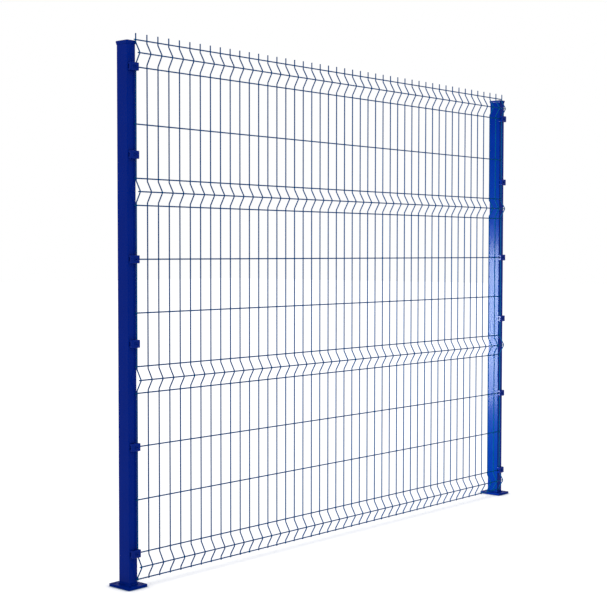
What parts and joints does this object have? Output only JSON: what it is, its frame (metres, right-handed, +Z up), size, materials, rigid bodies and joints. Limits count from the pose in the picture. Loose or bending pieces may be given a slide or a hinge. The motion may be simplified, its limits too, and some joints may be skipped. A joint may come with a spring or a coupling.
{
  "type": "welded mesh fence panel",
  "caption": "Welded wire mesh fence panel with folded stiffening ribs and a spiked top edge, clipped to two capped steel tube posts that stand on bolt-down base plates.",
  "frame": {"origin": "centre of the left base plate's underside, on the ground under the left post's axis", "axes": "+X along the fence to the right post, +Y from the mesh side to the back of the posts, +Z up"},
  "size_m": [2.595, 0.119, 2.0605],
  "materials": {
    "powder_coat": "smooth gloss blue powder coat over galvanised steel",
    "cap_plastic": "moulded blue plastic, satin gloss"
  },
  "bodies": {
    "root": {"base_plate_left": "powder_coat", "base_plate_right": "powder_coat", "cap_left": "cap_plastic", "cap_right": "cap_plastic", "clip_left_1": "powder_coat", "clip_left_2": "powder_coat", "clip_left_3": "powder_coat", "clip_left_4": "powder_coat", "clip_left_5": "powder_coat", "clip_left_6": "powder_coat", "clip_right_1": "powder_coat", "clip_right_2": "powder_coat", "clip_right_3": "powder_coat", "clip_right_4": "powder_coat", "clip_right_5": "powder_coat", "clip_right_6": "powder_coat", "foot_weld_left": "powder_coat", "foot_weld_right": "powder_coat", "mesh_left": "powder_coat", "mesh_right": "powder_coat", "post_left": "powder_coat", "post_right": "powder_coat"}
  },
  "joints": []
}
